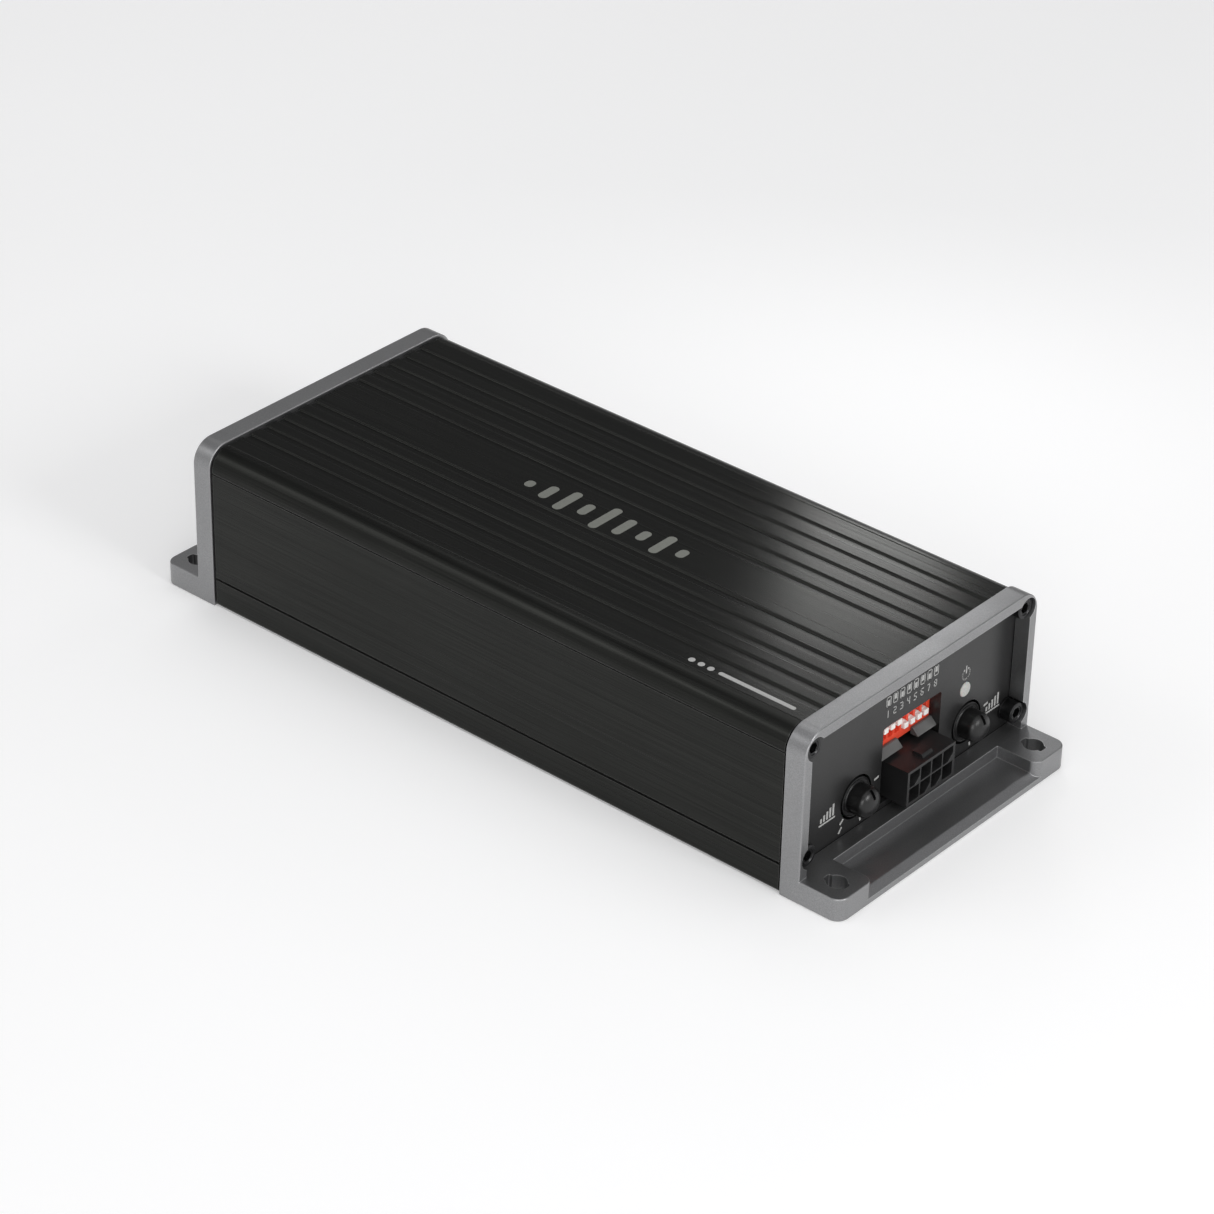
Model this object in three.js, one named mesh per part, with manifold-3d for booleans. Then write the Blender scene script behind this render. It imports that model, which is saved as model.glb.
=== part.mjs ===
// Compact car amplifier: a grooved aluminium extrusion closed by two cast end caps with mounting feet.
// Frame: millimetres, +Z up, origin at the bottom centre, +X towards the control end, +Y to its far side.
import * as THREE from "three";
import { mergeVertices } from "three/addons/utils/BufferGeometryUtils.js";
import Module from "manifold-3d";

const wasm = await Module();
wasm.setup();

// ---------------------------------------------------------------- driving dimensions
const CAP_WIDTH = 86.5; // across the end caps
const CAP_HEIGHT = 44.5; // from the resting plane to the top of the caps
const TOTAL_LENGTH = 215.6; // over both mounting feet
const CAP_FACE = 96.0; // x of the front rim of a cap
const CAP_BACK = 90.4; // x of the face that meets the gasket
const CAP_RADIUS = 5.8; // top corners of a cap
const FOOT_HEIGHT = 6.1;
const FOOT_RADIUS = 3.1; // corners of a foot seen from above
const TRAY_HALF_WIDTH = 31.1; // the hollow in a foot, between its ears
const TRAY_FLOOR = 2.9;
const TRAY_LIP = 1.65; // height of the foot's outer edge
const EAR_RADIUS = 2.4;
const MOUNTING_HOLE_X = 102.0;
const MOUNTING_HOLE_Y = 37.3;
const MOUNTING_HOLE_RADIUS = 2.5;
const MOUNTING_SLOT_LENGTH = 6.1;
const MOUNTING_SLOT_WIDTH = 2.4;

const BODY_END = 89.85; // half the length of the extrusion
const BODY_HALF_WIDTH = 42.8;
const BODY_TOP = 43.8;
const BODY_BOTTOM = 0.3;
const BODY_RADIUS = 5.3;
const BODY_WALL = 2.3;
const GROOVE_FIRST = 7.8; // centre of the groove nearest the plain centre band
const GROOVE_PITCH = 5.66;
const GROOVE_COUNT = 5; // on each side of the centre band
const GROOVE_WIDTH = 2.9;
const GROOVE_DEPTH = 0.48;

const OPENING_HALF_WIDTH = 40.6; // the hole in a cap through which the panel shows
const OPENING_TOP = 41.7;
const OPENING_RADIUS = 2.6;
const PANEL_FACE = 91.75;
const PANEL_THICKNESS = 1.2;
const SHROUD_BACK = 88.65; // rear end of the frame round a panel window

const SCREW_Y = 39.4;
const SCREW_Z = [10.9, 40.0];
const SCREW_HEAD_RADIUS = 2.75;
const SCREW_POCKET_RADIUS = 3.1;
const SCREW_HOLE_RADIUS = 1.7;
const SCREW_SEAT = 91.85; // x of the washer's back
const SCREW_FACE = 95.3;

const BOARD_BOTTOM = 6.15;
const BOARD_TOP = 7.75;
const BOARD_HALF_WIDTH = 40.1;
const CONTROL_CENTRE = 2.9; // y of the middle of the controls

const KNOB_OFFSET = 20.85; // of each gain knob from the middle of the controls
const KNOB_Z = 14.5;
const KNOB_FLANGE_RADIUS = 5.05;
const KNOB_RADIUS = 3.8;
const SHAFT_RADIUS = 1.5;

const DIP_CENTRE = 2.2;
const DIP_PITCH = 2.54;
const DIP_TRAVEL = 2.1;
const DIP_MIDDLE_Z = 23.4;
const DIP_FACE = 88.5;
const DIP_RAISED = 4; // sliders 1 to 4 stand at the top of their slots, the others at the bottom

const LED_Y = 22.35;
const LED_Z = 24.25;
const LED_RADIUS = 1.9;

const HEADER_FACE = 97.5;
const HEADER_LENGTH = 14.1;
const HEADER_BOTTOM = 8.0;
const HEADER_RIM = 0.6; // added round the whole field of cells
const CELL_PITCH = 4.2;
const CELL_SIZE = 3.7;
const POWER_PITCH = 6.3;
const POWER_CELL = 5.6;
const LATCH_HALF_WIDTH = 1.9; // of the ridge that a plug's latch hooks over
const GAP = 0.3;

// ---------------------------------------------------------------- materials
const paint = (color, roughness, metalness = 0) => ({ color, roughness, metalness });
const BLACK_ALUMINIUM = paint(0x1e1e1e, 0.38, 0.9);
const CAST_SATIN = paint(0x8a8b8c, 0.45, 0.9);
const PANEL_BLACK = paint(0x262626, 0.5, 0.2);
const SCREW_BLACK = paint(0x151515, 0.35, 0.9);
const BLACK_PLASTIC = paint(0x101010, 0.4);
const GASKET_RUBBER = paint(0x0c0c0c, 0.8);
const RED_PLASTIC = paint(0xc93a2a, 0.45);
const WHITE_PLASTIC = paint(0xf2f0ec, 0.5);
const CLEAR_PLASTIC = paint(0xd9d9d4, 0.35);
const TINNED = paint(0xc8c4b8, 0.3, 1);
const STEEL = paint(0x9a9a9a, 0.4, 1);
const BOARD_GREEN = paint(0x14512c, 0.5);
const FERRITE = paint(0x2b2b2d, 0.7);
const COPPER = paint(0xb5702f, 0.35, 1);
const SLEEVE = paint(0x1b2a4a, 0.4);
const PAD_GREY = paint(0x8f9aa3, 0.9);
const CHIP_BLACK = paint(0x161616, 0.6);
const FUSE_RED = paint(0xd0402c, 0.25);

// ---------------------------------------------------------------- solids
function solid(geometry) {
  geometry.deleteAttribute("normal");
  geometry.deleteAttribute("uv");
  const merged = mergeVertices(geometry, 1e-4);
  return new wasm.Manifold(
    new wasm.Mesh({
      numProp: 3,
      vertProperties: merged.attributes.position.array,
      triVerts: new Uint32Array(merged.index.array),
    }),
  );
}

function geometryOf(body) {
  const mesh = body.getMesh();
  const geometry = new THREE.BufferGeometry();
  geometry.setAttribute("position", new THREE.BufferAttribute(mesh.vertProperties, 3));
  geometry.setIndex(new THREE.BufferAttribute(mesh.triVerts, 1));
  const flat = geometry.toNonIndexed();
  flat.computeVertexNormals();
  return flat;
}

const shapeOf = (points) => new THREE.Shape(points.map(([a, b]) => new THREE.Vector2(a, b)));
const extruded = (points, depth) =>
  new THREE.ExtrudeGeometry(shapeOf(points), { depth, bevelEnabled: false, steps: 1 });

// Local x, y, z of an extrusion become y, z, x, so that its outline lies across the X axis.
const ACROSS_X = new THREE.Matrix4().makeBasis(
  new THREE.Vector3(0, 1, 0),
  new THREE.Vector3(0, 0, 1),
  new THREE.Vector3(1, 0, 0),
);

const alongX = (outline, x0, x1) =>
  solid(extruded(outline, x1 - x0).applyMatrix4(ACROSS_X).translate(x0, 0, 0));
const alongZ = (outline, z0, z1) => solid(extruded(outline, z1 - z0).translate(0, 0, z0));

// Local x, y, z become x, z, -y, for an outline of [x, z] points pushed along the Y axis.
const ACROSS_Y = new THREE.Matrix4().makeBasis(
  new THREE.Vector3(1, 0, 0),
  new THREE.Vector3(0, 0, 1),
  new THREE.Vector3(0, -1, 0),
);
const alongY = (outline, y0, y1) =>
  solid(extruded(outline, y1 - y0).applyMatrix4(ACROSS_Y).translate(0, y1, 0));

function block([x0, y0, z0], [x1, y1, z1]) {
  const box = new THREE.BoxGeometry(x1 - x0, y1 - y0, z1 - z0);
  return solid(box.translate((x0 + x1) / 2, (y0 + y1) / 2, (z0 + z1) / 2));
}

function arc(cx, cy, radius, from, to, steps) {
  const points = [];
  for (let i = 0; i <= steps; i++) {
    const angle = from + ((to - from) * i) / steps;
    points.push([cx + radius * Math.cos(angle), cy + radius * Math.sin(angle)]);
  }
  return points;
}

const circle = (cx, cy, radius, sides) =>
  arc(cx, cy, radius, Math.PI / sides, 2 * Math.PI + Math.PI / sides, sides).slice(0, -1);

// A rectangle whose top and bottom corners have their own radii.
function rounded(x0, y0, x1, y1, bottomRadius, topRadius, steps = 5) {
  const quarter = Math.PI / 2;
  const corner = (cx, cy, radius, from) =>
    radius > 0 ? arc(cx, cy, radius, from, from + quarter, steps) : [[cx, cy]];
  return [
    ...corner(x0 + bottomRadius, y0 + bottomRadius, bottomRadius, 2 * quarter),
    ...corner(x1 - bottomRadius, y0 + bottomRadius, bottomRadius, 3 * quarter),
    ...corner(x1 - topRadius, y1 - topRadius, topRadius, 0),
    ...corner(x0 + topRadius, y1 - topRadius, topRadius, quarter),
  ];
}

const rodX = (y, z, radius, x0, x1, sides = 20) => alongX(circle(y, z, radius, sides), x0, x1);
const rodZ = (x, y, radius, z0, z1, sides = 20) => alongZ(circle(x, y, radius, sides), z0, z1);
const joined = (parts) => parts.reduce((sum, part) => sum.add(part));
const cut = (body, tools) => tools.reduce((rest, tool) => rest.subtract(tool), body);

// A solid turned about the axis x = 0 from [radius, x] points, then moved to (x, y, z).
function turnedX(profile, x, y, z, segments = 24) {
  const lathe = new THREE.LatheGeometry(
    profile.map(([radius, along]) => new THREE.Vector2(radius, along)),
    segments,
  );
  return solid(lathe.rotateZ(-Math.PI / 2).translate(x, y, z));
}

const amplifier = new THREE.Group();
amplifier.name = "car_amplifier";

function add(name, body, finish, parent = amplifier) {
  const mesh = new THREE.Mesh(geometryOf(body), new THREE.MeshStandardMaterial(finish));
  mesh.name = name;
  parent.add(mesh);
}

// Everything of the far end is modelled at +X and turned half round about Z with this group.
const rearEnd = new THREE.Group();
rearEnd.rotation.z = Math.PI;
amplifier.add(rearEnd);

// ---------------------------------------------------------------- heatsink body
function notch(position, width, depth) {
  return [
    [position - width / 2, 0],
    [position, depth],
    [position + width / 2, 0],
  ];
}

function groove(centre) {
  const half = GROOVE_WIDTH / 2;
  return [
    [centre + half, 0],
    [centre + half - 0.2, 0.08],
    [centre + half - 0.4, GROOVE_DEPTH],
    [centre - half + 0.4, GROOVE_DEPTH],
    [centre - half + 0.2, 0.08],
    [centre - half, 0],
  ];
}

function bodyOutline() {
  const side = [...notch(8.0, 0.7, 0.4), ...notch(38.0, 0.5, 0.25)];
  const top = notch(BODY_HALF_WIDTH - BODY_RADIUS - 0.3, 0.5, 0.25).reverse();
  for (let i = GROOVE_COUNT - 1; i >= 0; i--) {
    top.push(...groove(GROOVE_FIRST + i * GROOVE_PITCH));
  }
  const right = [
    ...arc(BODY_HALF_WIDTH - 0.8, BODY_BOTTOM + 0.8, 0.8, -Math.PI / 2, 0, 2),
    ...side.map(([z, depth]) => [BODY_HALF_WIDTH - depth, z]),
    ...arc(
      BODY_HALF_WIDTH - BODY_RADIUS,
      BODY_TOP - BODY_RADIUS,
      BODY_RADIUS,
      0,
      Math.PI / 2,
      7,
    ),
    ...top.map(([y, depth]) => [y, BODY_TOP - depth]),
  ];
  const left = right.map(([y, z]) => [-y, z]).reverse();
  return [...right, ...left];
}

function heatsinkBody() {
  const tube = alongX(bodyOutline(), -BODY_END, BODY_END).subtract(
    alongX(
      rounded(
        -(BODY_HALF_WIDTH - BODY_WALL),
        BODY_BOTTOM + 1.9,
        BODY_HALF_WIDTH - BODY_WALL,
        BODY_TOP - 2.6,
        0.6,
        3.4,
        3,
      ),
      -BODY_END - 1,
      BODY_END + 1,
    ),
  );
  const ribs = [];
  const holes = [];
  for (const side of [-1, 1]) {
    const wall = BODY_HALF_WIDTH - BODY_WALL + 0.4;
    const [y0, y1] = side > 0 ? [38.2, wall] : [-wall, -38.2];
    ribs.push(block([-BODY_END, y0, 4.3], [BODY_END, y1, BOARD_BOTTOM - 0.3]));
    for (const z of SCREW_Z) {
      ribs.push(rodX(side * SCREW_Y, z, 2.85, -BODY_END, BODY_END, 14));
      holes.push(rodX(side * SCREW_Y, z, 1.45, -BODY_END - 1, BODY_END + 1, 10));
    }
  }
  return cut(joined([tube, ...ribs]), holes);
}
add("heatsink_body", heatsinkBody(), BLACK_ALUMINIUM);

// ---------------------------------------------------------------- end caps, gaskets, screws
function mountingHole(side) {
  const x = MOUNTING_HOLE_X;
  const y = side * MOUNTING_HOLE_Y;
  const halfLength = MOUNTING_SLOT_LENGTH / 2;
  const halfWidth = MOUNTING_SLOT_WIDTH / 2;
  return rodZ(x, y, MOUNTING_HOLE_RADIUS, -1, FOOT_HEIGHT + 1, 20).add(
    block([x - halfLength, y - halfWidth, -1], [x + halfLength, y + halfWidth, FOOT_HEIGHT + 1]),
  );
}

// The hollow of the foot: a level floor, a sloped front edge and ears with rounded inner corners.
function footTray() {
  const half = TRAY_HALF_WIDTH;
  const back = CAP_FACE + 0.2;
  const tip = TOTAL_LENGTH / 2;
  const flare = EAR_RADIUS;
  const quarter = Math.PI / 2;
  const plan = [
    [back, -half],
    ...arc(tip - flare, -half - flare, flare, quarter, 0, 4),
    [tip + 2, -half - flare],
    [tip + 2, half + flare],
    ...arc(tip - flare, half + flare, flare, 0, -quarter, 4),
    [back, half],
  ];
  const slope = [
    [tip - 2.3, TRAY_FLOOR],
    [tip, TRAY_LIP],
    [tip + 2, TRAY_LIP],
    [tip + 2, 10],
    [back - 1, 10],
    [back - 1, TRAY_FLOOR],
  ];
  return alongZ(plan, 0.5, 10).intersect(alongY(slope, -CAP_WIDTH / 2, CAP_WIDTH / 2));
}

function endCap() {
  const half = CAP_WIDTH / 2;
  const ring = alongX(rounded(-half, 0, half, CAP_HEIGHT, 0.6, CAP_RADIUS, 8), CAP_BACK, CAP_FACE);
  const foot = alongZ(
    [
      [CAP_FACE - 1, -half],
      ...arc(TOTAL_LENGTH / 2 - FOOT_RADIUS, -half + FOOT_RADIUS, FOOT_RADIUS, -Math.PI / 2, 0, 5),
      ...arc(TOTAL_LENGTH / 2 - FOOT_RADIUS, half - FOOT_RADIUS, FOOT_RADIUS, 0, Math.PI / 2, 5),
      [CAP_FACE - 1, half],
    ],
    0,
    FOOT_HEIGHT,
  );
  const opening = alongX(
    rounded(-OPENING_HALF_WIDTH, FOOT_HEIGHT, OPENING_HALF_WIDTH, OPENING_TOP, 0, OPENING_RADIUS, 5),
    CAP_BACK - 1,
    CAP_FACE + 1,
  );
  const rabbet = alongX(rounded(-41.7, 5.1, 41.7, 42.8, 1, 4.2, 4), CAP_BACK - 1, PANEL_FACE + 0.15);
  const pockets = [];
  for (const side of [-1, 1]) {
    for (const z of SCREW_Z) {
      pockets.push(rodX(side * SCREW_Y, z, SCREW_POCKET_RADIUS, CAP_BACK + 1, CAP_FACE + 1, 20));
    }
  }
  const holes = [mountingHole(-1), mountingHole(1), footTray()];
  return cut(ring.add(foot), [opening, rabbet, ...pockets, ...holes]);
}

function gasket() {
  const outer = rounded(-42.3, 0.9, 42.3, 43.3, 0.6, 4.9, 5);
  const inner = rounded(-38.0, 5.9, 38.0, 38.9, 1, 1, 2);
  const ring = alongX(outer, 89.95, 90.3).subtract(alongX(inner, 89, 91));
  const holes = [];
  for (const side of [-1, 1]) {
    for (const z of SCREW_Z) {
      holes.push(rodX(side * SCREW_Y, z, SCREW_HOLE_RADIUS, 89, 91, 12));
    }
  }
  return cut(ring, holes);
}

function capScrew(y, z) {
  const head = rodX(y, z, SCREW_HEAD_RADIUS, SCREW_SEAT + 0.4, SCREW_FACE, 20);
  const washer = rodX(y, z, SCREW_HEAD_RADIUS + 0.2, SCREW_SEAT, SCREW_SEAT + 0.45, 20);
  const shank = rodX(y, z, 1.3, 78.0, SCREW_SEAT + 0.35, 10);
  const socket = alongX(circle(y, z, 1.45, 6), SCREW_FACE - 1.6, SCREW_FACE + 1);
  return joined([head, washer, shank]).subtract(socket);
}

for (const [end, parent] of [["front", amplifier], ["rear", rearEnd]]) {
  add(end + "_end_cap", endCap(), CAST_SATIN, parent);
  add(end + "_gasket", gasket(), GASKET_RUBBER, parent);
  let number = 1;
  for (const side of [-1, 1]) {
    for (const z of SCREW_Z) {
      add(`${end}_screw_${number}`, capScrew(side * SCREW_Y, z), SCREW_BLACK, parent);
      number += 1;
    }
  }
}

// ---------------------------------------------------------------- panels
const SHROUD_WALL = 1.8;

function panelPlate() {
  const plate = alongX(
    rounded(-41.5, 5.35, 41.5, 42.6, 0.8, 4, 4),
    PANEL_FACE - PANEL_THICKNESS,
    PANEL_FACE,
  );
  const holes = [];
  for (const side of [-1, 1]) {
    for (const z of SCREW_Z) {
      holes.push(rodX(side * SCREW_Y, z, SCREW_HOLE_RADIUS, 88, 95, 12));
    }
  }
  return cut(plate, holes);
}

// A plate with rectangular windows [y0, z0, y1, z1], each with a frame behind it.
function windowedPanel(windows) {
  let panel = panelPlate();
  for (const [y0, z0, y1, z1] of windows) {
    const frame = block(
      [SHROUD_BACK, y0 - SHROUD_WALL, z0 - 0.6],
      [PANEL_FACE - 0.5, y1 + SHROUD_WALL, z1 + SHROUD_WALL],
    );
    panel = panel.add(frame);
  }
  for (const [y0, z0, y1, z1] of windows) {
    panel = panel.subtract(alongX(rounded(y0, z0, y1, z1, 0.3, 0.7, 2), SHROUD_BACK - 1, PANEL_FACE + 1));
  }
  return panel;
}

const WINDOW = [-8.8, 7.6, 13.0, 28.3];
const LATCH_GAP = [0.2, 6.0];
// Section in x and z of the two ledges that part the switches from the header below them.
const LEDGE = [
  [SHROUD_BACK, 18.5],
  [SHROUD_BACK + 2.25, 18.5],
  [SHROUD_BACK + 2.25, 18.8],
  [SHROUD_BACK + 0.65, 20.4],
  [SHROUD_BACK, 20.4],
];

function frontPanel() {
  const bar = (y0, y1) => alongY(LEDGE, y0, y1);
  const bars = [bar(WINDOW[0] - 0.5, LATCH_GAP[0]), bar(LATCH_GAP[1], WINDOW[2] + 0.5)];
  const holes = [rodX(LED_Y, LED_Z, LED_RADIUS + 0.1, 88, 95, 16)];
  for (const side of [-1, 1]) {
    holes.push(rodX(CONTROL_CENTRE + side * KNOB_OFFSET, KNOB_Z, KNOB_FLANGE_RADIUS + 0.6, 88, 95, 28));
  }
  return cut(joined([windowedPanel([WINDOW]), ...bars]), holes);
}
add("front_panel", frontPanel(), PANEL_BLACK);

const OUTPUT_COLUMNS = 5;
const POWER_Y = 24.0;
const FUSE_Y = -24.0;
const REAR_WINDOWS = [
  [-11.6, 7.6, 11.6, 18.2],
  [POWER_Y - 7.4, 7.6, POWER_Y + 7.4, 18.2],
  [FUSE_Y - 6.9, 7.6, FUSE_Y + 6.9, 14.6],
];
add("rear_panel", windowedPanel(REAR_WINDOWS), PANEL_BLACK, rearEnd);

// ---------------------------------------------------------------- headers
// A shrouded pin header lying on the board, with its mouth at HEADER_FACE.
function headerShape(centre, columns, rows, pitch, cell) {
  const width = columns * pitch + 2 * HEADER_RIM;
  const height = rows * pitch + 2 * HEADER_RIM;
  const z0 = HEADER_BOTTOM;
  const y0 = centre - width / 2;
  const cells = [];
  for (let column = 0; column < columns; column++) {
    for (let row = 0; row < rows; row++) {
      cells.push({
        y: centre + (column - (columns - 1) / 2) * pitch,
        z: z0 + height / 2 + (row - (rows - 1) / 2) * pitch,
        keyed: (column % 3 === 0) === (row === rows - 1),
      });
    }
  }
  return { width, height, y0, z0, cells, half: cell / 2, centre };
}

// Keyed cells lose one lower corner, so that a plug fits in one way only.
function cellOutline({ y, z, keyed }, half) {
  const slant = half * 0.9;
  const lowerRight = keyed
    ? [[y + half - slant, z - half], [y + half, z - half + slant]]
    : [[y + half, z - half]];
  return [[y - half, z - half], ...lowerRight, [y + half, z + half], [y - half, z + half]];
}

function headerHousing(shape, pin) {
  const back = HEADER_FACE - HEADER_LENGTH;
  const shell = block(
    [back, shape.y0, shape.z0],
    [HEADER_FACE, shape.y0 + shape.width, shape.z0 + shape.height],
  );
  const top = shape.z0 + shape.height;
  const latch = block(
    [HEADER_FACE - 4.4, shape.centre - LATCH_HALF_WIDTH, top - 0.2],
    [HEADER_FACE - 1.2, shape.centre + LATCH_HALF_WIDTH, top + 0.8],
  );
  const hollows = shape.cells.flatMap((cell) => [
    alongX(cellOutline(cell, shape.half), back + 4.2, HEADER_FACE + 1),
    block(
      [back - 1, cell.y - pin - 0.15, cell.z - pin - 0.15],
      [back + 5, cell.y + pin + 0.15, cell.z + pin + 0.15],
    ),
  ]);
  return cut(shell.add(latch), hollows);
}

// The header's contacts: pins held at their roots by one bar behind the housing.
function headerContacts(shape, pin) {
  const back = HEADER_FACE - HEADER_LENGTH;
  const ys = shape.cells.map((cell) => cell.y);
  const zs = shape.cells.map((cell) => cell.z);
  const bar = block(
    [back - 1.3, Math.min(...ys) - pin, Math.min(...zs) - pin],
    [back - 0.3, Math.max(...ys) + pin, Math.max(...zs) + pin],
  );
  const pins = shape.cells.map(({ y, z }) =>
    block([back - 0.6, y - pin, z - pin], [HEADER_FACE - 2.2, y + pin, z + pin]),
  );
  return joined([bar, ...pins]);
}

function addHeader(prefix, shape, pin, parent) {
  add(prefix + "_header", headerHousing(shape, pin), BLACK_PLASTIC, parent);
  add(prefix + "_contacts", headerContacts(shape, pin), TINNED, parent);
}
addHeader("input", headerShape(CONTROL_CENTRE, 4, 2, CELL_PITCH, CELL_SIZE), 0.5, amplifier);
addHeader("output", headerShape(0, OUTPUT_COLUMNS, 2, CELL_PITCH, CELL_SIZE), 0.5, rearEnd);
addHeader("power", headerShape(POWER_Y, 2, 1, POWER_PITCH, POWER_CELL), 1.0, rearEnd);

// ---------------------------------------------------------------- fuse
function fuseHolder() {
  const body = block([83.0, FUSE_Y - 6.4, HEADER_BOTTOM], [94.0, FUSE_Y + 6.4, 14.0]);
  const well = block([88.0, FUSE_Y - 5.6, 9.0], [95.0, FUSE_Y + 5.6, 13.0]);
  const slots = [-1, 1].map((side) => {
    const y = FUSE_Y + side * 3.8;
    return block([84.0, y - 1.6, 10.5], [89.0, y + 1.6, 11.5]);
  });
  return cut(body, [well, ...slots]);
}

function bladeFuse() {
  const grip = block([88.3, FUSE_Y - 5.3, 9.3], [96.6, FUSE_Y + 5.3, 12.7]);
  const blades = [-1, 1].map((side) => {
    const y = FUSE_Y + side * 3.8;
    return block([84.5, y - 1.3, 10.7], [88.6, y + 1.3, 11.3]);
  });
  return joined([grip, ...blades]);
}
add("fuse_holder", fuseHolder(), BLACK_PLASTIC, rearEnd);
add("blade_fuse", bladeFuse(), FUSE_RED, rearEnd);

// ---------------------------------------------------------------- gain controls
// Radius and distance from the back of a knob: flange, neck, dome and the blind bore for its shaft.
const KNOB_PROFILE = [
  [SHAFT_RADIUS + 0.1, 0],
  [KNOB_FLANGE_RADIUS, 0],
  [KNOB_FLANGE_RADIUS, 1.3],
  [KNOB_FLANGE_RADIUS - 0.25, 1.55],
  [KNOB_RADIUS + 0.1, 1.75],
  [KNOB_RADIUS, 2.2],
  [KNOB_RADIUS, 4.3],
  [KNOB_RADIUS * 0.93, 5.2],
  [KNOB_RADIUS * 0.74, 5.95],
  [KNOB_RADIUS * 0.42, 6.5],
  [0, 6.7],
  [0, 4.4],
  [SHAFT_RADIUS + 0.1, 4.4],
  [SHAFT_RADIUS + 0.1, 0],
];
const KNOB_BACK = 90.7;

for (const [index, side] of [-1, 1].entries()) {
  const y = CONTROL_CENTRE + side * KNOB_OFFSET;
  const pointer = block([KNOB_BACK + 5.0, y - 0.4, KNOB_Z + 2.0], [KNOB_BACK + 8, y + 0.4, KNOB_Z + 5]);
  const knob = turnedX(KNOB_PROFILE, KNOB_BACK, y, KNOB_Z).subtract(pointer);
  add(`gain_knob_${index + 1}`, knob, BLACK_PLASTIC);
  add(`gain_shaft_${index + 1}`, rodX(y, KNOB_Z, SHAFT_RADIUS, 79.0, KNOB_BACK + 4.1, 16), STEEL);
  const pot = joined([
    block([78.0, y - 4.7, HEADER_BOTTOM + 0.1], [84.6, y + 4.7, 19.4]),
    rodX(y, KNOB_Z, 3.2, 84.5, 89.8, 16),
  ]).subtract(rodX(y, KNOB_Z, SHAFT_RADIUS + 0.1, 78.8, 92, 16));
  add(`gain_pot_${index + 1}`, pot, STEEL);
}

// ---------------------------------------------------------------- mode switches
const SLOT_HALF = 0.9;
const SLIDER_HALF = 0.78;
const DIP_HALF_HEIGHT = 4.1;

function dipBody() {
  const half = 4 * DIP_PITCH + 0.8;
  const slots = [];
  for (let i = 0; i < 8; i++) {
    const y = DIP_CENTRE + (i - 3.5) * DIP_PITCH;
    const reach = DIP_TRAVEL / 2 + 0.95;
    const near = [DIP_FACE - 1.6, y - SLOT_HALF, DIP_MIDDLE_Z - reach];
    const far = [DIP_FACE + 1, y + SLOT_HALF, DIP_MIDDLE_Z + reach];
    slots.push(block(near, far));
  }
  const low = [80.2, DIP_CENTRE - half, DIP_MIDDLE_Z - DIP_HALF_HEIGHT];
  const high = [DIP_FACE, DIP_CENTRE + half, DIP_MIDDLE_Z + DIP_HALF_HEIGHT];
  return cut(block(low, high), slots);
}

function dipSlider(y, z) {
  const left = y - SLIDER_HALF;
  const right = y + SLIDER_HALF;
  const base = block([DIP_FACE - 1.5, left, z - 0.85], [DIP_FACE + 0.3, right, z + 0.85]);
  return base.add(block([DIP_FACE, left, z - 0.75], [DIP_FACE + 0.8, right, z + 0.75]));
}

add("dip_switch_body", dipBody(), RED_PLASTIC);
for (let i = 0; i < 8; i++) {
  const y = DIP_CENTRE + (i - 3.5) * DIP_PITCH;
  const z = DIP_MIDDLE_Z + ((i < DIP_RAISED ? 1 : -1) * DIP_TRAVEL) / 2;
  add(`dip_slider_${i + 1}`, dipSlider(y, z), WHITE_PLASTIC);
}

// ---------------------------------------------------------------- power light
add(
  "light_pipe",
  joined([
    rodX(LED_Y, LED_Z, LED_RADIUS, 83.5, PANEL_FACE + 0.3, 20),
    rodX(LED_Y, LED_Z, 2.6, 88.4, PANEL_FACE - PANEL_THICKNESS - 0.2, 20),
  ]),
  CLEAR_PLASTIC,
);
add("status_led", block([80.0, LED_Y - 1.6, LED_Z - 1.4], [83.1, LED_Y + 1.6, LED_Z + 1.4]), WHITE_PLASTIC);

// ---------------------------------------------------------------- boards and inner parts
add(
  "main_board",
  block([-88.2, -BOARD_HALF_WIDTH, BOARD_BOTTOM], [88.2, BOARD_HALF_WIDTH, BOARD_TOP]),
  BOARD_GREEN,
);
add("control_board", block([78.0, -10.5, 19.8], [79.6, 27.5, 31.5]), BOARD_GREEN);
add("control_board_header", block([77.9, -6, BOARD_TOP + GAP], [79.9, 11, 19.5]), BLACK_PLASTIC);

function transformerCore() {
  const shell = block([20, -14, 8.3], [44, 14, 30]);
  const windows = [block([19, -10, 12], [45, -4, 26]), block([19, 4, 12], [45, 10, 26])];
  return cut(shell, windows);
}

// The winding bobbin wraps the middle leg of the core and fills both of its windows.
function transformerWinding() {
  const outer = block([16.5, -9.7, 12.3], [47.5, 9.7, 25.7]);
  const leg = block([19.7, -4.3, 11], [44.3, 4.3, 27]);
  return outer.subtract(leg);
}
add("transformer_core", transformerCore(), FERRITE);
add("transformer_winding", transformerWinding(), COPPER);

for (let i = 0; i < 4; i++) {
  const y = (i - 1.5) * 13.5;
  add(`filter_capacitor_${i + 1}`, rodZ(62, y, 5.0, BOARD_TOP + GAP, 29.5, 20), SLEEVE);
}

for (let i = 0; i < 4; i++) {
  const y = (i - 1.5) * 14.5;
  const spool = joined([
    rodZ(-62, y, 6.2, BOARD_TOP + GAP, 10.0, 20),
    rodZ(-62, y, 5.4, 9.9, 19.1, 20),
    rodZ(-62, y, 6.2, 19.0, 21.0, 20),
  ]);
  add(`output_inductor_${i + 1}`, spool, FERRITE);
}

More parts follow.
